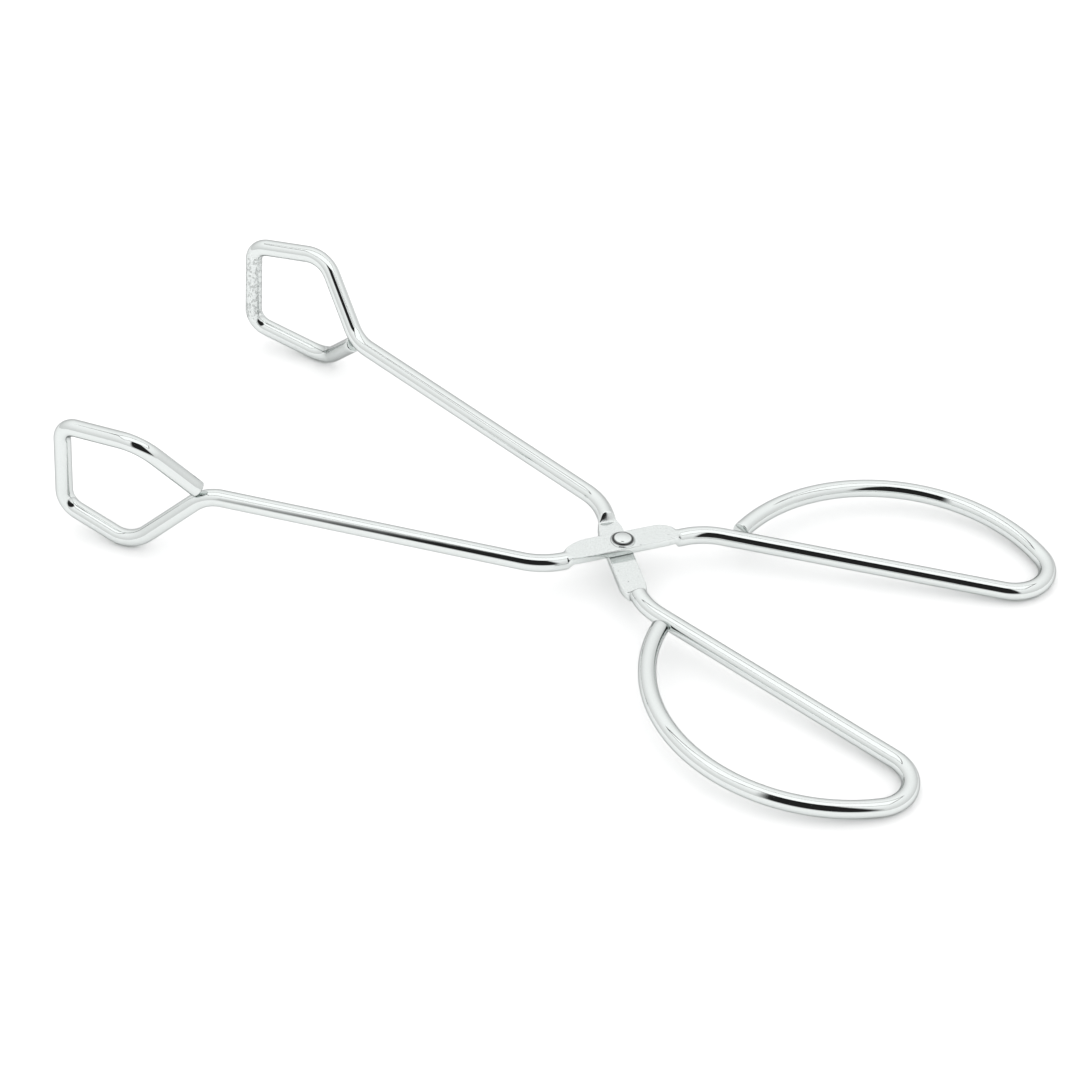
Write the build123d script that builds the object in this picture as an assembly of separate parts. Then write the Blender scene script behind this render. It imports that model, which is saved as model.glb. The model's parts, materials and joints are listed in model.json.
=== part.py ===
from build123d import *
from dataclasses import dataclass
from math import cos, sin, radians, degrees, atan2
import os

# Crucible tongs: two bent wire levers, one turned over on the other, and the rivet they turn on.
# Millimetres and degrees. Each lever is drawn in the lever frame: the rivet's axis is Z, the
# handle's straight side runs along +X and the jaw points along -X. The pressed flat is drawn in
# the flat frame, which is the lever frame turned so that X runs along the flat.

# Wire
WIRE_D = 4.7
WIRE_R = WIRE_D / 2
END_CHAMFER = 0.35

# The stretch pressed flat around the rivet
FLAT_ANGLE = 34.0
FLAT_LENGTH = 30.8
FLAT_WIDTH = 7.2
FLAT_END_WIDTH = 4.7
FLAT_SHOULDER = 4.6
FLAT_GAP = 0.1
FLAT_CROWN = 0.05
FLAT_INNER_Z = FLAT_GAP / 2
FLAT_THICKNESS = WIRE_R - FLAT_CROWN - FLAT_INNER_Z
PRESS_HALF = 14.2
PRESS_RAMP = 1.8
PRESS_DEPTH = 4.5
WIRE_INTO_FLAT = 1.0

# Bends beside the pivot
PIVOT_BEND_R = 18.0

# Jaw loop: five-sided in height, and folded at its bends to reach around a round vessel
JAW_OUT_ANGLE = 16.6
JAW_IN_ANGLE = -16.5
JAW_BEND_REACH = 19.8
JAW_BEND_REACH_END = 17.2
JAW_FOLD_REACH = 18.3
JAW_BEND_HALF_HEIGHT = 16.8
JAW_TIP_REACH = 23.5
JAW_TIP_HALF_HEIGHT = 13.2
JAW_END_TRIM = 2.7
NECK_R = 11.0
JAW_BEND_R = 10.0
JAW_TIP_R = 5.2

# Handle: tight corner, and the long bow back to the straight side
CORNER_R = 10.25
BOW_R = 45.8

# Rivet
RIVET_D = 3.2
RIVET_HEAD_D = 6.6
RIVET_HEAD_HEIGHT = 1.1
RIVET_RUNNING_CLEARANCE = 0.05
RIVET_END_PLAY = 0.05

# Stored position
HALF_OPENING = 14.4

# Finding how the tongs lie
HALF_SPACE = 400
LEVELLING_STEPS = 6


@dataclass
class Bend:
    """What differs between the two hand-bent levers, each in its own lever frame."""

    arm_bend: float
    arm_angle: float
    arm_length: float
    handle_bend: float
    shank_angle: float
    shank_length: float
    corner_turn: float
    bow_turn: float
    wire_side: float
    flat_along: float
    flat_side: float


UPPER = Bend(
    arm_bend=22.8,
    arm_angle=-1.1,
    arm_length=92.3,
    handle_bend=22.8,
    shank_angle=0.1,
    shank_length=80.5,
    corner_turn=128.5,
    bow_turn=121.8,
    wire_side=-1.0,
    flat_along=-0.4,
    flat_side=0.0,
)
LOWER = Bend(
    arm_bend=19.6,
    arm_angle=2.65,
    arm_length=94.4,
    handle_bend=23.9,
    shank_angle=-0.5,
    shank_length=81.0,
    corner_turn=126.0,
    bow_turn=126.3,
    wire_side=0.95,
    flat_along=3.8,
    flat_side=1.1,
)


def along(angle, length, z=0.0):
    """Point at a length from the origin, at an angle in the plane of the levers."""
    return Vector(length * cos(radians(angle)), length * sin(radians(angle)), z)


def jaw_corners(bend):
    """Centre-line corners of the jaw side, from the wire's free end into the pressed flat."""
    arm_bend = -along(FLAT_ANGLE, bend.arm_bend)
    neck = arm_bend - along(bend.arm_angle, bend.arm_length)
    fold = neck - along(JAW_OUT_ANGLE, JAW_FOLD_REACH)
    tip = fold - along(JAW_IN_ANGLE, JAW_TIP_REACH)
    first_bend = neck - along(JAW_OUT_ANGLE, JAW_BEND_REACH, JAW_BEND_HALF_HEIGHT)
    last_bend = neck - along(JAW_OUT_ANGLE, JAW_BEND_REACH_END, -JAW_BEND_HALF_HEIGHT)
    free_end = neck + (last_bend - neck).normalized() * JAW_END_TRIM
    return [
        free_end,
        last_bend,
        tip + Vector(0, 0, JAW_TIP_HALF_HEIGHT),
        tip - Vector(0, 0, JAW_TIP_HALF_HEIGHT),
        first_bend,
        neck,
        arm_bend,
        along(FLAT_ANGLE, bend.flat_along - PRESS_HALF + WIRE_INTO_FLAT),
    ]


def jaw_path(bend):
    radii = [JAW_BEND_R, JAW_TIP_R, JAW_TIP_R, JAW_BEND_R, NECK_R, PIVOT_BEND_R]
    return FilletPolyline(*jaw_corners(bend), radius=radii)


def handle_path(bend):
    """Centre line of the handle side, from inside the pressed flat to the wire's free end."""
    start = along(FLAT_ANGLE, bend.flat_along + PRESS_HALF - WIRE_INTO_FLAT)
    shank_start = along(FLAT_ANGLE, bend.handle_bend)
    shank_end = shank_start + along(bend.shank_angle, bend.shank_length)
    shank = FilletPolyline(start, shank_start, shank_end, radius=PIVOT_BEND_R)
    heading = along(bend.shank_angle, 1)
    corner = JernArc(start=shank_end, tangent=heading, radius=CORNER_R, arc_size=bend.corner_turn)
    bow = JernArc(start=corner @ 1, tangent=corner % 1, radius=BOW_R, arc_size=bend.bow_turn)
    return Wire(shank.edges() + [corner, bow])


def round_wire(path, free_end):
    """Round wire along a path, with its cut end at the path's free end (0 or 1) chamfered."""
    section = Plane(origin=path @ 0, z_dir=path % 0) * Circle(WIRE_R)
    rod = sweep(section, path=path)
    cut_face = rod.faces().filter_by(GeomType.PLANE).sort_by_distance(path @ free_end)[0]
    return chamfer(cut_face.edges(), END_CHAMFER)


def press_cut():
    """What the press takes from the round wire: the inner half, between two short ramps."""
    half_deep = PRESS_HALF + PRESS_RAMP
    outline = Polygon(
        (-PRESS_HALF, FLAT_INNER_Z),
        (PRESS_HALF, FLAT_INNER_Z),
        (half_deep, -PRESS_DEPTH),
        (-half_deep, -PRESS_DEPTH),
        align=None,
    )
    return extrude(Plane.XZ * outline, amount=FLAT_WIDTH, both=True)


def shoulder(x_side, y_side):
    """Plan curve from one long edge of the flat in to the wire, tangent to the edge."""
    edge_end = (x_side * (FLAT_LENGTH / 2 - FLAT_SHOULDER), y_side * FLAT_WIDTH / 2)
    wire_side = (x_side * FLAT_LENGTH / 2, y_side * FLAT_END_WIDTH / 2)
    return TangentArc(edge_end, wire_side, tangent=(x_side, 0))


def pressed_flat():
    far_right, near_right = shoulder(1, 1), shoulder(1, -1)
    far_left, near_left = shoulder(-1, 1), shoulder(-1, -1)
    joins = [
        Line(far_left @ 0, far_right @ 0),
        Line(far_right @ 1, near_right @ 1),
        Line(near_right @ 0, near_left @ 0),
        Line(near_left @ 1, far_left @ 1),
    ]
    plan = make_face([far_right, near_right, near_left, far_left] + joins)
    return Pos(0, 0, FLAT_INNER_Z) * extrude(plan, amount=FLAT_THICKNESS, dir=(0, 0, 1))


def lever(hole_r, bend):
    """One lever, in the lever frame, with its pressed flat on the +Z side of the wire's plane."""
    wires = round_wire(jaw_path(bend), 0) + round_wire(handle_path(bend), 1)
    flat_frame = Rot(0, 0, FLAT_ANGLE)
    wires = Pos(along(FLAT_ANGLE + 90, bend.wire_side)) * wires
    pressed_place = flat_frame * Pos(bend.flat_along, bend.flat_side, 0)
    hole = Cylinder(hole_r, 2 * WIRE_D)
    return (wires - pressed_place * press_cut() + pressed_place * pressed_flat() - hole).solid()


def rivet_head():
    """Low domed head on the plane Z = 0, as a slice of a ball."""
    head_r = RIVET_HEAD_D / 2
    ball_r = (head_r**2 + RIVET_HEAD_HEIGHT**2) / (2 * RIVET_HEAD_HEIGHT)
    ball = Pos(0, 0, RIVET_HEAD_HEIGHT - ball_r) * Sphere(ball_r)
    return split(ball, bisect_by=Plane.XY, keep=Keep.TOP)


def rivet():
    """Shank and two heads. The upper head sits tight, the lower one leaves the end play."""
    upper_seat = FLAT_INNER_Z + FLAT_THICKNESS
    lower_seat = -upper_seat - RIVET_END_PLAY
    shank = extrude(Pos(0, 0, lower_seat) * Circle(RIVET_D / 2), amount=upper_seat - lower_seat)
    upper_head = Pos(0, 0, upper_seat) * rivet_head()
    lower_head = Pos(0, 0, lower_seat) * (Rot(180, 0, 0) * rivet_head())
    return (shank + upper_head + lower_head).solid()


def tongs():
    """The three pieces in the tongs' own frame: rivet axis on Z, jaws towards -X."""
    running_r = RIVET_D / 2 + RIVET_RUNNING_CLEARANCE
    upper = Rot(0, 0, HALF_OPENING) * lever(RIVET_D / 2, UPPER)
    lower = Rot(0, 0, -HALF_OPENING) * (Rot(180, 0, 0) * lever(running_r, LOWER))
    return {"upper_lever": upper, "lower_lever": lower, "rivet": rivet()}


def lowest(shapes, pitch, jaws):
    """Height of the lowest point of the jaw half or the handle half, at a pitch about Y."""
    side = Align.MAX if jaws else Align.MIN
    half = Box(HALF_SPACE, HALF_SPACE, HALF_SPACE, align=(side, Align.CENTER, Align.CENTER))
    heights = [(Rot(0, pitch, 0) * (shape & half)).bounding_box().min.Z for shape in shapes]
    return min(heights)


def bench_pitch(shapes):
    """Pitch about Y at which the lower jaw bend and the finger loops lie on one level plane."""
    span = LOWER.arm_bend + LOWER.arm_length + LOWER.handle_bend + LOWER.shank_length
    pitch = 0.0
    for _ in range(LEVELLING_STEPS):
        rise = lowest(shapes, pitch, jaws=False) - lowest(shapes, pitch, jaws=True)
        pitch += degrees(atan2(rise, span))
    return pitch


pieces = tongs()
BENCH_PITCH = bench_pitch([pieces["upper_lever"], pieces["lower_lever"]])
laid = {name: Rot(0, BENCH_PITCH, 0) * piece for name, piece in pieces.items()}
box = Compound(list(laid.values())).bounding_box()
BENCH_SHIFT = Pos(-(box.min.X + box.max.X) / 2, -(box.min.Y + box.max.Y) / 2, -box.min.Z)

os.makedirs("parts", exist_ok=True)
for name, piece in laid.items():
    export_step(BENCH_SHIFT * piece, f"parts/{name}.step")
    print(name, round((BENCH_SHIFT * piece).volume, 1), "mm3")
pivot = BENCH_SHIFT.position
print("pitch", round(BENCH_PITCH, 3), "pivot", round(pivot.X, 3), round(pivot.Y, 3), round(pivot.Z, 3))
print("size", round(box.size.X, 2), round(box.size.Y, 2), round(box.size.Z, 2))
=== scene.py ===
import json
import math
from dataclasses import dataclass

import bmesh
import bpy
import numpy as np
from mathutils import Matrix, Vector


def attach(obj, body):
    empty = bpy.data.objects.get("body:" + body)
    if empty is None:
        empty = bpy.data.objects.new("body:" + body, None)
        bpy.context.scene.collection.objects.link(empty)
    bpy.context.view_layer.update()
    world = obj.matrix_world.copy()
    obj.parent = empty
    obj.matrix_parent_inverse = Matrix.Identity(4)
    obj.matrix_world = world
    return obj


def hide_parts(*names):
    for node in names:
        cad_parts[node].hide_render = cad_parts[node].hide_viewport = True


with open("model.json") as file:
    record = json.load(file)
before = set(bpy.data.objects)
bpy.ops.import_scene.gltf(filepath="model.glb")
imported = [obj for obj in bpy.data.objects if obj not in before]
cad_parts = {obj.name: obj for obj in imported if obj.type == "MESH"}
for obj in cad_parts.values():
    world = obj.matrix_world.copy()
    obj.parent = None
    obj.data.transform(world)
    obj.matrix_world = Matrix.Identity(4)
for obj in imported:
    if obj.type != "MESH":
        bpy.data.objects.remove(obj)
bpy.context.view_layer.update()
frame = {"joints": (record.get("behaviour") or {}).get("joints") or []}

# ---------------------------------------------------------------------------
# Sizes, in metres and degrees. A lever is drawn in the lever frame: the rivet's axis is Z,
# the handle's straight side runs along +X and the jaw points along -X.
# ---------------------------------------------------------------------------
MM = 0.001

WIRE_R = 2.35 * MM
END_ROUND = 0.35 * MM

FLAT_ANGLE = 34.0
FLAT_HALF_LENGTH = 15.4 * MM
FLAT_HALF_WIDTH = 3.6 * MM
FLAT_SHOULDER = 4.8 * MM
FLAT_LONG_SHOULDER = 7.0 * MM
FLAT_EDGE_R = 0.1 * MM
FLAT_SIDE_R = 2.7 * MM
FLAT_INNER_Z = 0.05 * MM
FLAT_OUTER_Z = 2.3 * MM
PRESS_HALF = 14.2 * MM
PRESS_RAMP = 1.8 * MM
OUTER_BLEND_START = 14.9 * MM
OUTER_BLEND_END = 16.2 * MM

PIVOT_BEND_R = 18.0 * MM
JAW_OUT_ANGLE = 16.6
JAW_IN_ANGLE = -16.5
JAW_BEND_REACH = 19.8 * MM
JAW_BEND_REACH_END = 17.2 * MM
JAW_FOLD_REACH = 18.3 * MM
JAW_BEND_HALF_HEIGHT = 16.8 * MM
JAW_TIP_REACH = 23.5 * MM
JAW_TIP_HALF_HEIGHT = 13.2 * MM
JAW_END_TRIM = 2.7 * MM
NECK_R = 11.0 * MM
JAW_BEND_R = 10.0 * MM
JAW_TIP_R = 5.2 * MM

CORNER_R = 10.25 * MM
BOW_R = 45.8 * MM

RIVET_R = 1.6 * MM
RIVET_HOLE_CLEARANCE = 0.05 * MM
RIVET_END_PLAY = 0.05 * MM
RIVET_HEAD_R = 3.3 * MM
RIVET_HEAD_HEIGHT = 1.1 * MM
RIVET_CROWN_R = 2.1 * MM
RIVET_CROWN_DROP = 0.32 * MM
RIVET_GROOVE_R = 2.6 * MM
RIVET_RIM_HEIGHT = 0.42 * MM

HALF_OPENING = 14.4

# How worn the plating is, from 0 to 1
WIRE_WEAR = 0.12
FLAT_WEAR = 0.55

# The shade that gathers in the rivet heads' groove: how far it reaches and how deep it is
GROOVE_SHADE_REACH = 0.5 * MM
GROOVE_SHADE = 0.98

# Mesh density
ARC_STEP = math.radians(2.5)
LINE_STEP = 2.5 * MM
PRESS_STEP = 0.2 * MM
PRESS_ZONE = 17.4 * MM
EDGE_POINTS = 5
SIDE_POINTS = 8
FACE_POINTS = 12
DRILL_HALF_LENGTH = 6 * MM


@dataclass
class Bend:
    """What differs between the two hand-bent levers, each in its own lever frame."""

    arm_bend: float
    arm_angle: float
    arm_length: float
    handle_bend: float
    shank_angle: float
    shank_length: float
    corner_turn: float
    bow_turn: float
    wire_side: float
    flat_along: float
    flat_side: float
    tip_wear: float


UPPER_BEND = Bend(
    arm_bend=22.8 * MM,
    arm_angle=-1.1,
    arm_length=92.3 * MM,
    handle_bend=22.8 * MM,
    shank_angle=0.1,
    shank_length=80.5 * MM,
    corner_turn=128.5,
    bow_turn=121.8,
    wire_side=-1.0 * MM,
    flat_along=-0.4 * MM,
    flat_side=0.0,
    tip_wear=0.25,
)
LOWER_BEND = Bend(
    arm_bend=19.6 * MM,
    arm_angle=2.65,
    arm_length=94.4 * MM,
    handle_bend=23.9 * MM,
    shank_angle=-0.5,
    shank_length=81.0 * MM,
    corner_turn=126.0,
    bow_turn=126.3,
    wire_side=0.95 * MM,
    flat_along=3.8 * MM,
    flat_side=1.1 * MM,
    tip_wear=1.0,
)


# ---------------------------------------------------------------------------
# Centre line of a lever
# ---------------------------------------------------------------------------
def along(angle, length, z=0.0):
    """Point at a length from the origin, at an angle in the plane of the levers."""
    a = math.radians(angle)
    return np.array([length * math.cos(a), length * math.sin(a), z])


def unit(v):
    return v / np.linalg.norm(v)


def turned(v, axis, angle):
    """v turned about a unit axis by an angle in radians."""
    c, s = math.cos(angle), math.sin(angle)
    return v * c + np.cross(axis, v) * s + axis * np.dot(axis, v) * (1 - c)


def lever_corners(bend):
    """Centre-line corners from the jaw's free end to the end of the handle's straight side."""
    arm_bend = -along(FLAT_ANGLE, bend.arm_bend)
    neck = arm_bend - along(bend.arm_angle, bend.arm_length)
    fold = neck - along(JAW_OUT_ANGLE, JAW_FOLD_REACH)
    tip = fold - along(JAW_IN_ANGLE, JAW_TIP_REACH)
    tip_half = np.array([0, 0, JAW_TIP_HALF_HEIGHT])
    first_bend = neck - along(JAW_OUT_ANGLE, JAW_BEND_REACH, JAW_BEND_HALF_HEIGHT)
    last_bend = neck - along(JAW_OUT_ANGLE, JAW_BEND_REACH_END, -JAW_BEND_HALF_HEIGHT)
    free_end = neck + unit(last_bend - neck) * JAW_END_TRIM
    handle_bend = along(FLAT_ANGLE, bend.handle_bend)
    shank_end = handle_bend + along(bend.shank_angle, bend.shank_length)
    corners = [free_end, last_bend, tip + tip_half, tip - tip_half, first_bend, neck]
    radii = [JAW_BEND_R, JAW_TIP_R, JAW_TIP_R, JAW_BEND_R, NECK_R, PIVOT_BEND_R, PIVOT_BEND_R]
    return corners + [arm_bend, handle_bend, shank_end], radii


def add_line(samples, end, step):
    """Adds points from the last sample up to and including end, in one direction."""
    start = samples[-1][0]
    length = np.linalg.norm(end - start)
    if length < 1e-9:
        return
    direction = (end - start) / length
    count = max(1, math.ceil(length / step))
    for i in range(1, count + 1):
        samples.append((start + direction * length * i / count, direction))


def add_arc(samples, radius, axis, angle):
    """Adds an arc that leaves the last sample along its direction, turning about axis."""
    point, direction = samples[-1]
    to_centre = np.cross(axis, direction) * radius
    centre = point + to_centre
    count = max(2, math.ceil(angle / ARC_STEP))
    for i in range(1, count + 1):
        a = angle * i / count
        samples.append((centre + turned(-to_centre, axis, a), turned(direction, axis, a)))


def centre_line(bend):
    """Points and directions along the whole wire, and each point's distance past the pivot."""
    corners, radii = lever_corners(bend)
    samples = [(corners[0], unit(corners[1] - corners[0]))]
    for i, radius in enumerate(radii, start=1):
        before = unit(corners[i] - corners[i - 1])
        after = unit(corners[i + 1] - corners[i])
        angle = math.acos(np.clip(np.dot(before, after), -1, 1))
        arc_start = corners[i] - before * radius * math.tan(angle / 2)
        add_line(samples, arc_start, LINE_STEP)
        add_arc(samples, radius, unit(np.cross(before, after)), angle)
    add_line(samples, corners[-1], LINE_STEP)
    up = np.array([0, 0, 1.0])
    add_arc(samples, CORNER_R, up, math.radians(bend.corner_turn))
    add_arc(samples, BOW_R, up, math.radians(bend.bow_turn))
    points = np.array([p for p, _ in samples])
    directions = np.array([d for _, d in samples])
    steps = np.linalg.norm(np.diff(points, axis=0), axis=1)
    distance = np.concatenate([[0], np.cumsum(steps)])
    past = points @ along(FLAT_ANGLE, 1.0)
    across = np.linalg.norm(points - np.outer(past, along(FLAT_ANGLE, 1.0)), axis=1)
    on_flat = np.where(across < 0.2 * MM)[0]
    pivot_at = np.interp(0, past[on_flat], distance[on_flat])
    points = points + along(FLAT_ANGLE + 90, bend.wire_side)
    return resample(points, directions, distance - pivot_at, bend.flat_along)


def resample(points, directions, past_pivot, middle):
    """Closer stations over the pressed stretch; elsewhere the stations stay."""
    keep = np.abs(past_pivot - middle) > PRESS_ZONE
    fine = middle + np.arange(-PRESS_ZONE, PRESS_ZONE + PRESS_STEP / 2, PRESS_STEP)
    stations = np.sort(np.concatenate([past_pivot[keep], fine]))
    new_points = np.array([np.interp(stations, past_pivot, points[:, i]) for i in range(3)]).T
    new_dirs = np.array([np.interp(stations, past_pivot, directions[:, i]) for i in range(3)]).T
    new_dirs /= np.linalg.norm(new_dirs, axis=1)[:, None]
    return new_points, new_dirs, stations


# ---------------------------------------------------------------------------
# Cross-sections: a round wire that turns into a rounded rectangle where it is pressed
# ---------------------------------------------------------------------------
def smooth(x):
    x = np.clip(x, 0, 1)
    return x * x * (3 - 2 * x)


def flat_ring(near, far, low, high):
    """Section of the pressed flat, counter-clockwise from the foot of its far side.

    The two sides bulge like a barrel and meet the faces at small rounded edges.
    """
    half_height = (high - low) / 2
    middle_z = (high + low) / 2
    reach = FLAT_SIDE_R - FLAT_EDGE_R
    lean = math.asin((half_height - FLAT_EDGE_R) / reach)
    inset = FLAT_SIDE_R - reach * math.cos(lean)
    side = [(far - FLAT_SIDE_R + FLAT_SIDE_R * math.cos(a), FLAT_SIDE_R * math.sin(a))
            for a in np.linspace(-lean, lean, SIDE_POINTS + 1)]
    edge_y, edge_z = far - inset, half_height - FLAT_EDGE_R
    edge = [(edge_y + FLAT_EDGE_R * math.cos(a), edge_z + FLAT_EDGE_R * math.sin(a))
            for a in np.linspace(lean, math.pi / 2, EDGE_POINTS + 1)[1:]]
    face = [(y, half_height) for y in np.linspace(far - inset, near + inset, FACE_POINTS + 1)[1:]]
    half_ring = np.array(side + edge + face)
    other_edge = np.array(edge[:-1])[::-1] * (-1, 1) + (near + far, 0)
    upper = np.concatenate([half_ring, other_edge])
    lower = upper * (-1, -1) + (near + far, 0)
    return np.concatenate([upper, lower]) + (0, middle_z)


def ring_count():
    return 2 * (SIDE_POINTS + 1 + EDGE_POINTS + FACE_POINTS + EDGE_POINTS - 1)


def circle_ring(radius):
    count = ring_count()
    start = -math.pi * (SIDE_POINTS + 1) / count
    a = start + np.arange(count) * 2 * math.pi / count
    return np.stack([radius * np.cos(a), radius * np.sin(a)], axis=1)


def flat_edge(middle, half_width, wire_edge, reach, shoulder):
    """Across position of one long edge of the flat: straight, then an arc in to the wire."""
    share = np.clip((reach - FLAT_HALF_LENGTH + shoulder) / shoulder, 0, 1)
    edge = middle + half_width
    return edge + (wire_edge - edge) * share**2


def section(past_pivot, bend):
    """Ring of (across, up) points at a station along the wire."""
    circle = circle_ring(WIRE_R)
    past_middle = past_pivot - bend.flat_along
    reach = abs(past_middle)
    if reach > PRESS_ZONE:
        return circle
    middle = bend.flat_side - bend.wire_side
    far_shoulder = FLAT_LONG_SHOULDER if past_middle < 0 else FLAT_SHOULDER
    far = flat_edge(middle, FLAT_HALF_WIDTH, WIRE_R, reach, far_shoulder)
    near = flat_edge(middle, -FLAT_HALF_WIDTH, -WIRE_R, reach, FLAT_SHOULDER)
    flat = flat_ring(near, far, FLAT_INNER_Z, FLAT_OUTER_Z)
    outer = 1 - smooth((reach - OUTER_BLEND_START) / (OUTER_BLEND_END - OUTER_BLEND_START))
    inner = 1 - smooth((reach - PRESS_HALF) / PRESS_RAMP)
    lower_half = smooth(0.5 - circle[:, 1] / WIRE_R)[:, None]
    pressed = outer + (inner - outer) * lower_half
    return circle + (flat - circle) * pressed


# ---------------------------------------------------------------------------
# Lever mesh
# ---------------------------------------------------------------------------
def carried_ups(directions, start):
    """Up vectors carried along the wire without twist, from straight up at the pivot."""
    ups = np.zeros_like(directions)
    ups[start] = (0, 0, 1)
    for order in (range(start + 1, len(directions)), range(start - 1, -1, -1)):
        last = ups[start]
        for i in order:
            last = unit(last - np.dot(last, directions[i]) * directions[i])
            ups[i] = last
    return ups


def end_rings(point, up, side, outward):
    """Rings that round a cut end off and close in on the middle of its flat face."""
    rings = []
    base = circle_ring(1.0)
    for angle in (22.5, 45, 67.5, 90):
        a = math.radians(angle)
        radius = WIRE_R - END_ROUND + END_ROUND * math.cos(a)
        centre = point - outward * END_ROUND * (1 - math.sin(a))
        rings.append(centre + radius * (base[:, :1] * side + base[:, 1:] * up))
    for share in (0.75, 0.4):
        radius = (WIRE_R - END_ROUND) * share
        rings.append(point + radius * (base[:, :1] * side + base[:, 1:] * up))
    return rings


def plating_wear(past_pivot, direction, bend):
    """The pressed flat is duller than the wire, and the upright bar at the jaw's tip is worn."""
    if abs(past_pivot - bend.flat_along) < PRESS_HALF + PRESS_RAMP:
        return FLAT_WEAR
    upright = smooth((abs(direction[2]) - 0.75) / 0.2)
    return WIRE_WEAR + (bend.tip_wear - WIRE_WEAR) * upright


def lever_mesh(name, bend, placing):
    """The whole wire as one closed mesh, with each point's place on the unbent wire."""
    points, directions, past = centre_line(bend)
    start = int(np.argmin(np.abs(past)))
    ups = carried_ups(directions, start)
    sides = np.cross(ups, directions)
    rings = []
    straight = []
    wear = []
    first_end = end_rings(points[0], ups[0], sides[0], -directions[0])
    last_end = end_rings(points[-1], ups[-1], sides[-1], directions[-1])
    base = circle_ring(WIRE_R)

    def keep(ring, shape, station, worn=WIRE_WEAR):
        rings.append(ring)
        straight.append(np.column_stack([np.full(len(shape), station), shape]))
        wear.append(np.full(len(shape), worn))

    for ring in reversed(first_end):
        keep(ring, base, past[0])
    keep(points[0] + directions[0] * END_ROUND + base[:, :1] * sides[0] + base[:, 1:] * ups[0],
         base, past[0] + END_ROUND)
    for i in range(1, len(points) - 1):
        if past[0] + 1.2 * END_ROUND < past[i] < past[-1] - 1.2 * END_ROUND:
            shape = section(past[i], bend)
            ring = points[i] + shape[:, :1] * sides[i] + shape[:, 1:] * ups[i]
            keep(ring, shape, past[i], plating_wear(past[i], directions[i], bend))
    keep(points[-1] - directions[-1] * END_ROUND + base[:, :1] * sides[-1] + base[:, 1:] * ups[-1],
         base, past[-1] - END_ROUND)
    for ring in last_end:
        keep(ring, base, past[-1])

    count = ring_count()
    vertices = np.concatenate(rings + [points[:1], points[-1:]])
    unbent = np.concatenate(straight + [[[past[0], 0, 0]], [[past[-1], 0, 0]]])
    worn = np.concatenate(wear + [[WIRE_WEAR, WIRE_WEAR]])
    faces = []
    for r in range(len(rings) - 1):
        a, b = r * count, (r + 1) * count
        for i in range(count):
            j = (i + 1) % count
            faces.append((a + i, a + j, b + j, b + i))
    first_middle, last_middle = len(vertices) - 2, len(vertices) - 1
    last_ring = (len(rings) - 1) * count
    for i in range(count):
        j = (i + 1) % count
        faces.append((first_middle, j, i))
        faces.append((last_middle, last_ring + i, last_ring + j))

    mesh = bpy.data.meshes.new(name)
    mesh.from_pydata(vertices.tolist(), [], faces)
    unbent_layer = mesh.attributes.new("unbent", "FLOAT_VECTOR", "POINT")
    unbent_layer.data.foreach_set("vector", unbent.astype(np.float32).ravel())
    wear_layer = mesh.attributes.new("wear", "FLOAT", "POINT")
    wear_layer.data.foreach_set("value", worn.astype(np.float32))
    mesh.transform(placing)
    mesh.update()
    lever = bpy.data.objects.new(name, mesh)
    bpy.context.scene.collection.objects.link(lever)
    return lever


# ---------------------------------------------------------------------------
# Turned shapes: the rivet and the drill for its hole
# ---------------------------------------------------------------------------
def lathe(name, profile, placing, count=96):
    """A closed solid of revolution about Z from (radius, height) points, axis to axis."""
    vertices = [(0, 0, profile[0][1]), (0, 0, profile[-1][1])]
    rim = profile[1:-1]
    for radius, height in rim:
        for i in range(count):
            a = 2 * math.pi * i / count
            vertices.append((radius * math.cos(a), radius * math.sin(a), height))
    faces = []
    for i in range(count):
        j = (i + 1) % count
        faces.append((0, 2 + j, 2 + i))
        for r in range(len(rim) - 1):
            a, b = 2 + r * count, 2 + (r + 1) * count
            faces.append((a + i, a + j, b + j, b + i))
        last = 2 + (len(rim) - 1) * count
        faces.append((1, last + i, last + j))
    mesh = bpy.data.meshes.new(name)
    mesh.from_pydata(vertices, [], faces)
    mesh.transform(placing)
    turned_object = bpy.data.objects.new(name, mesh)
    bpy.context.scene.collection.objects.link(turned_object)
    return turned_object


def head_profile(seat, sign):
    """A formed rivet head from its crown's middle to its seat, as (radius, height) points."""
    low_crown = RIVET_HEAD_HEIGHT - RIVET_CROWN_DROP
    points = [(0, RIVET_HEAD_HEIGHT)]
    for share in (0.3, 0.6, 0.8, 1.0):
        points.append((RIVET_CROWN_R * share, RIVET_HEAD_HEIGHT - RIVET_CROWN_DROP * share**2))
    for share in (0.25, 0.5, 0.75, 1.0):
        turn = share * math.pi / 2
        radius = RIVET_CROWN_R + (RIVET_GROOVE_R - RIVET_CROWN_R) * math.sin(turn)
        points.append((radius, RIVET_RIM_HEIGHT + (low_crown - RIVET_RIM_HEIGHT) * math.cos(turn)))
    for share in (0.2, 0.4, 0.6, 0.8, 1.0):
        turn = share * math.pi / 2
        radius = RIVET_GROOVE_R + (RIVET_HEAD_R - RIVET_GROOVE_R) * math.sin(turn)
        points.append((radius, RIVET_RIM_HEIGHT * math.cos(turn)))
    return [(radius, seat + sign * height) for radius, height in points]


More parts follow.
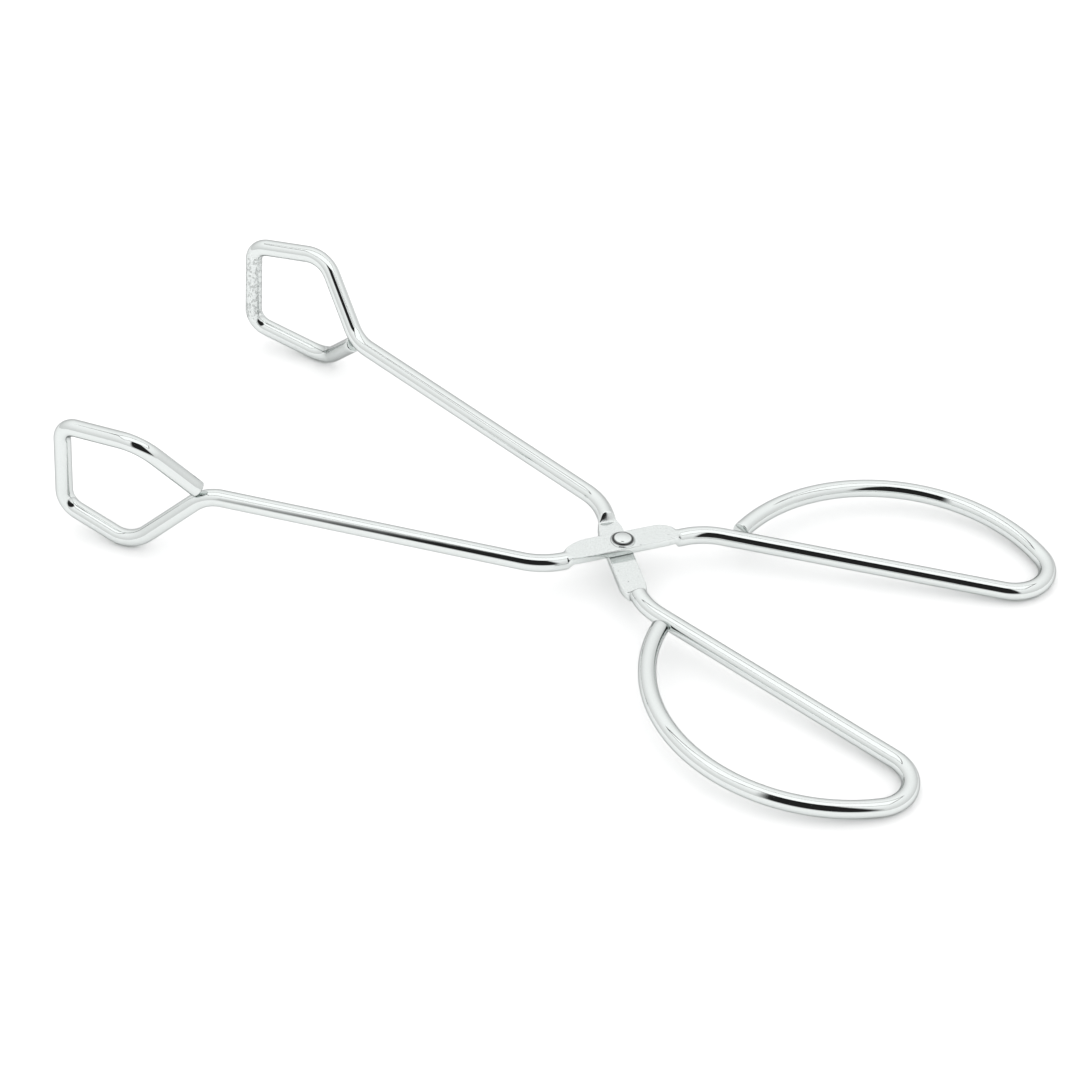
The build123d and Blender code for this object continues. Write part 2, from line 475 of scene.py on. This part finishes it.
def rivet_mesh(placing):
    lower = head_profile(-FLAT_OUTER_Z - RIVET_END_PLAY, -1)
    upper = head_profile(FLAT_OUTER_Z, 1)
    shank = [(RIVET_R, -FLAT_OUTER_Z - RIVET_END_PLAY), (RIVET_R, FLAT_OUTER_Z)]
    formed = lathe("rivet_formed", lower + shank + upper[::-1], placing)
    radii = np.array([(placing.inverted() @ v.co).xy.length for v in formed.data.vertices])
    # Painted shade: the rivet's colour is darkened to near black in a ring over the groove between its
    # crown and its rim. The ring is kept as a factor that the rivet material multiplies into its colour.
    groove = np.clip(1 - np.abs(radii - RIVET_GROOVE_R) / GROOVE_SHADE_REACH, 0, 1)
    painted_groove_shade_factor = formed.data.attributes.new("painted_groove_shade_factor", "FLOAT", "POINT")
    painted_groove_shade_factor.data.foreach_set("value", (1 - GROOVE_SHADE * np.sqrt(groove)).astype(np.float32))
    wear = formed.data.attributes.new("wear", "FLOAT", "POINT")
    wear.data.foreach_set("value", np.full(len(radii), WIRE_WEAR, dtype=np.float32))
    return formed


def drill(lever, radius, placing):
    """Cuts the rivet hole through a lever's pressed flat."""
    depth = DRILL_HALF_LENGTH
    bit = lathe("drill", [(0, -depth), (radius, -depth), (radius, depth), (0, depth)], placing)
    cut = lever.modifiers.new("hole", "BOOLEAN")
    cut.operation = "DIFFERENCE"
    cut.solver = "EXACT"
    cut.object = bit
    bpy.context.view_layer.update()
    solid = bpy.data.meshes.new_from_object(lever.evaluated_get(bpy.context.evaluated_depsgraph_get()))
    lever.modifiers.clear()
    lever.data = solid
    bpy.data.objects.remove(bit)


def shade(piece, angle=38):
    piece.data.shade_smooth()
    piece.data.set_sharp_from_angle(angle=math.radians(angle))


# ---------------------------------------------------------------------------
# Materials
# ---------------------------------------------------------------------------
def new_material(name):
    material = bpy.data.materials.new(name)
    material.use_nodes = True
    nodes = material.node_tree.nodes
    nodes.clear()
    output = nodes.new("ShaderNodeOutputMaterial")
    shader = nodes.new("ShaderNodeBsdfPrincipled")
    material.node_tree.links.new(shader.outputs[0], output.inputs[0])
    return material, nodes, material.node_tree.links, shader


def math_node(nodes, links, operation, first, second=None, third=None):
    node = nodes.new("ShaderNodeMath")
    node.operation = operation
    for socket, value in zip(node.inputs, (first, second, third)):
        if isinstance(value, (int, float)):
            socket.default_value = value
        elif value is not None:
            links.new(value, socket)
    return node.outputs[0]


def attribute(nodes, name, output):
    node = nodes.new("ShaderNodeAttribute")
    node.attribute_name = name
    return node.outputs[output]


def noise(nodes, links, place, size, detail=2.0):
    """Noise whose features are about size metres across, along each axis of place."""
    mapping = nodes.new("ShaderNodeMapping")
    mapping.inputs["Scale"].default_value = [1 / s for s in size]
    links.new(place, mapping.inputs["Vector"])
    node = nodes.new("ShaderNodeTexNoise")
    node.inputs["Scale"].default_value = 1.0
    node.inputs["Detail"].default_value = detail
    links.new(mapping.outputs[0], node.inputs["Vector"])
    return node.outputs[0]


def between(nodes, links, value, low, high, out_low, out_high):
    """Value mapped smoothly from low..high to out_low..out_high."""
    node = nodes.new("ShaderNodeMapRange")
    node.interpolation_type = "SMOOTHSTEP"
    links.new(value, node.inputs["Value"])
    for name, number in (("From Min", low), ("From Max", high), ("To Min", out_low), ("To Max", out_high)):
        node.inputs[name].default_value = number
    return node.outputs[0]


# The plating's reflectance, straight on and near grazing
CHROME_TONE = (0.715, 0.745, 0.735)
EDGE_TONE = 0.45

# Its marks: the size of each kind along and across the wire, and how deep it is
LINE_SIZE = (70 * MM, 0.8 * MM, 0.8 * MM)
LINE_DEPTH = 0.006 * MM
FINE_LINE_SIZE = (18 * MM, 0.25 * MM, 0.25 * MM)
FINE_LINE_DEPTH = 0.0012 * MM
WAVE_SIZE = (9 * MM, 4 * MM, 4 * MM)
WAVE_DEPTH = 0.02 * MM
GRAIN_SIZE = (0.32 * MM, 0.32 * MM, 0.32 * MM)
GRAIN_DEPTH = 0.010 * MM
PIT_SIZE = (1.1 * MM, 0.8 * MM, 0.8 * MM)
PIT_DEPTH = 0.03 * MM
STAIN_SIZE = (14 * MM, 3 * MM, 3 * MM)

# Noise levels at which unworn plating pits, how much lower wear takes them, and the other marks'
PIT_LEVEL = 0.86
PIT_LEVEL_WORN_OFF = 0.34
PIT_SOFTNESS = 0.05
STAIN_LEVELS = (0.5, 0.75)
GRAIN_LEVELS = (0.35, 0.7)

# Roughness of clean plating, and what worn grain, stains and pits add to it
CLEAN_ROUGHNESS = 0.03
GRAIN_ROUGHNESS = 0.22
STAIN_ROUGHNESS = 0.035
PIT_ROUGHNESS = 0.25

# How far pits and worn grain change the plating's tone
PIT_SHADE = 0.25
GRAIN_SHADE = 0.10


def chrome(name, place_name=None):
    """Bright chrome: drawing lines along the wire, fine grain, pits where it is worn.

    place_name names the mesh attribute that the marks lie along, for a wire; a piece that is
    not a wire takes its own coordinates, and has the shade in its groove.
    """
    material, nodes, links, shader = new_material(name)

    def calc(operation, first, second=None, third=None):
        return math_node(nodes, links, operation, first, second, third)

    if place_name:
        place = attribute(nodes, place_name, "Vector")
    else:
        place = nodes.new("ShaderNodeTexCoord").outputs["Object"]
    wear = attribute(nodes, "wear", "Fac")
    drawing_lines = noise(nodes, links, place, LINE_SIZE)
    fine_lines = noise(nodes, links, place, FINE_LINE_SIZE, 1.0)
    waves = noise(nodes, links, place, WAVE_SIZE, 1.0)
    grain = noise(nodes, links, place, GRAIN_SIZE, 3.0)
    blotches = noise(nodes, links, place, PIT_SIZE, 3.0)
    stains = noise(nodes, links, place, STAIN_SIZE, 3.0)
    pit_edge = calc("SUBTRACT", PIT_LEVEL, calc("MULTIPLY", wear, PIT_LEVEL_WORN_OFF))
    pits = between(nodes, links, calc("SUBTRACT", blotches, pit_edge), 0.0, PIT_SOFTNESS, 0.0, 1.0)
    stained = between(nodes, links, stains, *STAIN_LEVELS, 0.0, 1.0)
    mottle = between(nodes, links, grain, *GRAIN_LEVELS, -1.0, 1.0)
    worn_grain = calc("MULTIPLY", grain, wear)

    height = calc("MULTIPLY", drawing_lines, LINE_DEPTH)
    height = calc("MULTIPLY_ADD", fine_lines, FINE_LINE_DEPTH, height)
    height = calc("MULTIPLY_ADD", waves, WAVE_DEPTH, height)
    height = calc("MULTIPLY_ADD", worn_grain, GRAIN_DEPTH, height)
    height = calc("MULTIPLY_ADD", pits, -PIT_DEPTH, height)
    bump = nodes.new("ShaderNodeBump")
    bump.inputs["Strength"].default_value = 1.0
    bump.inputs["Distance"].default_value = 1.0
    links.new(height, bump.inputs["Height"])
    links.new(bump.outputs[0], shader.inputs["Normal"])

    roughness = calc("MULTIPLY_ADD", worn_grain, GRAIN_ROUGHNESS, CLEAN_ROUGHNESS)
    roughness = calc("MULTIPLY_ADD", stained, STAIN_ROUGHNESS, roughness)
    roughness = calc("MULTIPLY_ADD", pits, PIT_ROUGHNESS, roughness)
    links.new(roughness, shader.inputs["Roughness"])

    shadows = calc("MULTIPLY_ADD", pits, -PIT_SHADE, 1.0)
    shadows = calc("MULTIPLY_ADD", mottle, calc("MULTIPLY", wear, GRAIN_SHADE), shadows)
    # On the rivet, the painted shade in its groove darkens the colour.
    if not place_name:
        shadows = calc("MULTIPLY", shadows, attribute(nodes, "painted_groove_shade_factor", "Fac"))
    tone = nodes.new("ShaderNodeVectorMath")
    tone.operation = "SCALE"
    tone.inputs[0].default_value = CHROME_TONE
    links.new(shadows, tone.inputs["Scale"])
    links.new(tone.outputs[0], shader.inputs["Base Color"])
    shader.inputs["Metallic"].default_value = 1.0
    shader.inputs["Specular Tint"].default_value = (EDGE_TONE, EDGE_TONE, EDGE_TONE, 1)
    return material


# ---------------------------------------------------------------------------
# Placing: the joint gives the rivet's middle and how far its axis leans
# ---------------------------------------------------------------------------
joint = frame["joints"][0]
lean = math.atan2(joint["axis"][0], joint["axis"][2])
PIVOT = Matrix.Translation(joint["pos_m"]) @ Matrix.Rotation(lean, 4, "Y")
UPPER = PIVOT @ Matrix.Rotation(math.radians(HALF_OPENING), 4, "Z")
LOWER = PIVOT @ Matrix.Rotation(-math.radians(HALF_OPENING), 4, "Z") @ Matrix.Rotation(math.pi, 4, "X")

plating = chrome("lever_chrome", "unbent")
rivet_plating = chrome("rivet_chrome")

upper_lever = lever_mesh("upper_lever_wire", UPPER_BEND, UPPER)
lower_lever = lever_mesh("lower_lever_wire", LOWER_BEND, LOWER)
drill(upper_lever, RIVET_R, PIVOT)
drill(lower_lever, RIVET_R + RIVET_HOLE_CLEARANCE, PIVOT)
rivet = rivet_mesh(PIVOT)

for piece, node, body, slot, material in (
    (upper_lever, "upper_lever", "upper_lever_and_rivet", "lever_plating", plating),
    (lower_lever, "lower_lever", "lower_lever", "lever_plating", plating),
    (rivet, "rivet", "upper_lever_and_rivet", "rivet_plating", rivet_plating),
):
    shade(piece)
    piece.data.materials.clear()
    piece.data.materials.append(material)
    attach(piece, body)
    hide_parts(node)

# ---------------------------------------------------------------------------
# Stage
# ---------------------------------------------------------------------------
FLOOR_SIZE = 12
FLOOR_TONE = 0.93
FLOOR_ROUGHNESS = 0.7
FLOOR_SPECULAR = 0.2


def plane(name, width, depth, location):
    mesh = bpy.data.meshes.new(name)
    x, y = width / 2, depth / 2
    mesh.from_pydata([(-x, -y, 0), (x, -y, 0), (x, y, 0), (-x, y, 0)], [], [(0, 1, 2, 3)])
    made = bpy.data.objects.new(name, mesh)
    made.location = location
    bpy.context.scene.collection.objects.link(made)
    return made


floor = plane("floor", FLOOR_SIZE, FLOOR_SIZE, (0, 0, 0))
floor_material, _, _, floor_shader = new_material("floor_white")
floor_shader.inputs["Base Color"].default_value = (FLOOR_TONE, FLOOR_TONE, FLOOR_TONE, 1)
floor_shader.inputs["Roughness"].default_value = FLOOR_ROUGHNESS
floor_shader.inputs["Specular IOR Level"].default_value = FLOOR_SPECULAR
floor.data.materials.append(floor_material)


def reflected_only(piece):
    """The studio around the object shows in its plating and nowhere else."""
    piece.visible_camera = False
    piece.visible_diffuse = False
    piece.visible_shadow = False


def emission_material(name):
    material = bpy.data.materials.new(name)
    material.use_nodes = True
    material.cycles.emission_sampling = "NONE"
    nodes = material.node_tree.nodes
    nodes.clear()
    output = nodes.new("ShaderNodeOutputMaterial")
    glow = nodes.new("ShaderNodeEmission")
    material.node_tree.links.new(glow.outputs[0], output.inputs[0])
    return material, nodes, material.node_tree.links, glow


# A plain studio, as brightness of what the plating reflects: a pale tent that is lighter towards
# its top, the dark opening that the camera looks in through, and a softbox with a dark rim.
CAMERA_AZIMUTH = math.radians(27.5)
TOWARDS_CAMERA = CAMERA_AZIMUTH - math.pi / 2
TENT_R = 1.5
TENT_FOOT_TONE = 0.85
TENT_TOP_TONE = 1.25
OPENING_TONE = 0.02
OPENING_HALF_WIDTH = math.radians(30)
OPENING_SOFTNESS = math.radians(5)
OPENING_FOOT = 0.15
OPENING_FOOT_SOFTNESS = 0.05
LAMP_TONE = 1.35
LAMP_HEIGHT = 1.0
LAMP_DEPTH = 0.7
LAMP_LENGTH = 1.4
RIM_TONE = 0.05
RIM_WIDTH = 0.06
RIM_ABOVE_LAMP = 0.01
ROOM_STRENGTH = 1.32


def light_tent():
    """The pale tent, turned so that its opening faces the camera's side of the object."""
    mesh = bpy.data.meshes.new("light_tent")
    tent = bpy.data.objects.new("light_tent", mesh)
    tent.rotation_euler = (0, 0, TOWARDS_CAMERA)
    bpy.context.scene.collection.objects.link(tent)
    shape = bmesh.new()
    bmesh.ops.create_uvsphere(shape, u_segments=96, v_segments=48, radius=TENT_R)
    shape.to_mesh(mesh)
    shape.free()
    mesh.shade_smooth()
    material, nodes, links, glow = emission_material("tent_cloth")

    def calc(operation, first, second=None):
        return math_node(nodes, links, operation, first, second)

    place = nodes.new("ShaderNodeTexCoord")
    split = nodes.new("ShaderNodeSeparateXYZ")
    links.new(place.outputs["Object"], split.inputs[0])
    off_middle = calc("ABSOLUTE", calc("ARCTAN2", split.outputs[1], split.outputs[0]))
    height = calc("DIVIDE", split.outputs[2], TENT_R)
    cloth = between(nodes, links, height, 0.0, 1.0, TENT_FOOT_TONE, TENT_TOP_TONE)
    within = between(nodes, links, off_middle, OPENING_HALF_WIDTH - OPENING_SOFTNESS,
                     OPENING_HALF_WIDTH + OPENING_SOFTNESS, 1.0, 0.0)
    above_foot = between(nodes, links, height, OPENING_FOOT - OPENING_FOOT_SOFTNESS,
                         OPENING_FOOT + OPENING_FOOT_SOFTNESS, 0.0, 1.0)
    darkness = calc("MULTIPLY", within, above_foot)
    tone = calc("SUBTRACT", cloth, calc("MULTIPLY", darkness, calc("SUBTRACT", cloth, OPENING_TONE)))
    links.new(tone, glow.inputs["Strength"])
    mesh.materials.append(material)
    reflected_only(tent)


def lit_panel(name, border, height, tone):
    """A level panel over the object, as large as the softbox and a border all round."""
    panel = plane(name, LAMP_DEPTH + 2 * border, LAMP_LENGTH + 2 * border, (0, 0, height))
    panel.rotation_euler = (0, 0, TOWARDS_CAMERA)
    material, _, _, glow = emission_material(name)
    glow.inputs["Strength"].default_value = tone
    panel.data.materials.append(material)
    reflected_only(panel)


light_tent()
lit_panel("overhead_lamp", 0, LAMP_HEIGHT, LAMP_TONE)
lit_panel("lamp_rim", RIM_WIDTH, LAMP_HEIGHT + RIM_ABOVE_LAMP, RIM_TONE)

world = bpy.data.worlds.new("studio")
bpy.context.scene.world = world
world.use_nodes = True
world.node_tree.nodes["Background"].inputs[0].default_value = (1.0, 1.0, 1.0, 1)
world.node_tree.nodes["Background"].inputs[1].default_value = ROOM_STRENGTH

# ---------------------------------------------------------------------------
# Camera
# ---------------------------------------------------------------------------
CAMERA_ELEVATION = math.radians(37.8)
CAMERA_ROLL = math.radians(-0.25)
CAMERA_DISTANCE = 0.895
CAMERA_AIM_FROM_PIVOT = (-0.020225, -0.0079, 0.000534)
CAMERA_LENS = 113.1
CAMERA_SENSOR_WIDTH = 36
CAMERA_CLIP_START = 0.01

aim_point = Vector(joint["pos_m"]) + Vector(CAMERA_AIM_FROM_PIVOT)

back = Vector((
    math.sin(CAMERA_AZIMUTH) * math.cos(CAMERA_ELEVATION),
    -math.cos(CAMERA_AZIMUTH) * math.cos(CAMERA_ELEVATION),
    math.sin(CAMERA_ELEVATION),
))
camera_data = bpy.data.cameras.new("camera")
camera_data.lens = CAMERA_LENS
camera_data.sensor_width = CAMERA_SENSOR_WIDTH
camera_data.clip_start = CAMERA_CLIP_START
camera = bpy.data.objects.new("camera", camera_data)
bpy.context.scene.collection.objects.link(camera)
camera.location = aim_point + back * CAMERA_DISTANCE
aim = (-back).to_track_quat("-Z", "Y").to_matrix().to_4x4()
camera.rotation_euler = (aim @ Matrix.Rotation(CAMERA_ROLL, 4, "Z")).to_euler()
bpy.context.scene.camera = camera
bpy.context.scene.view_settings.view_transform = "Standard"
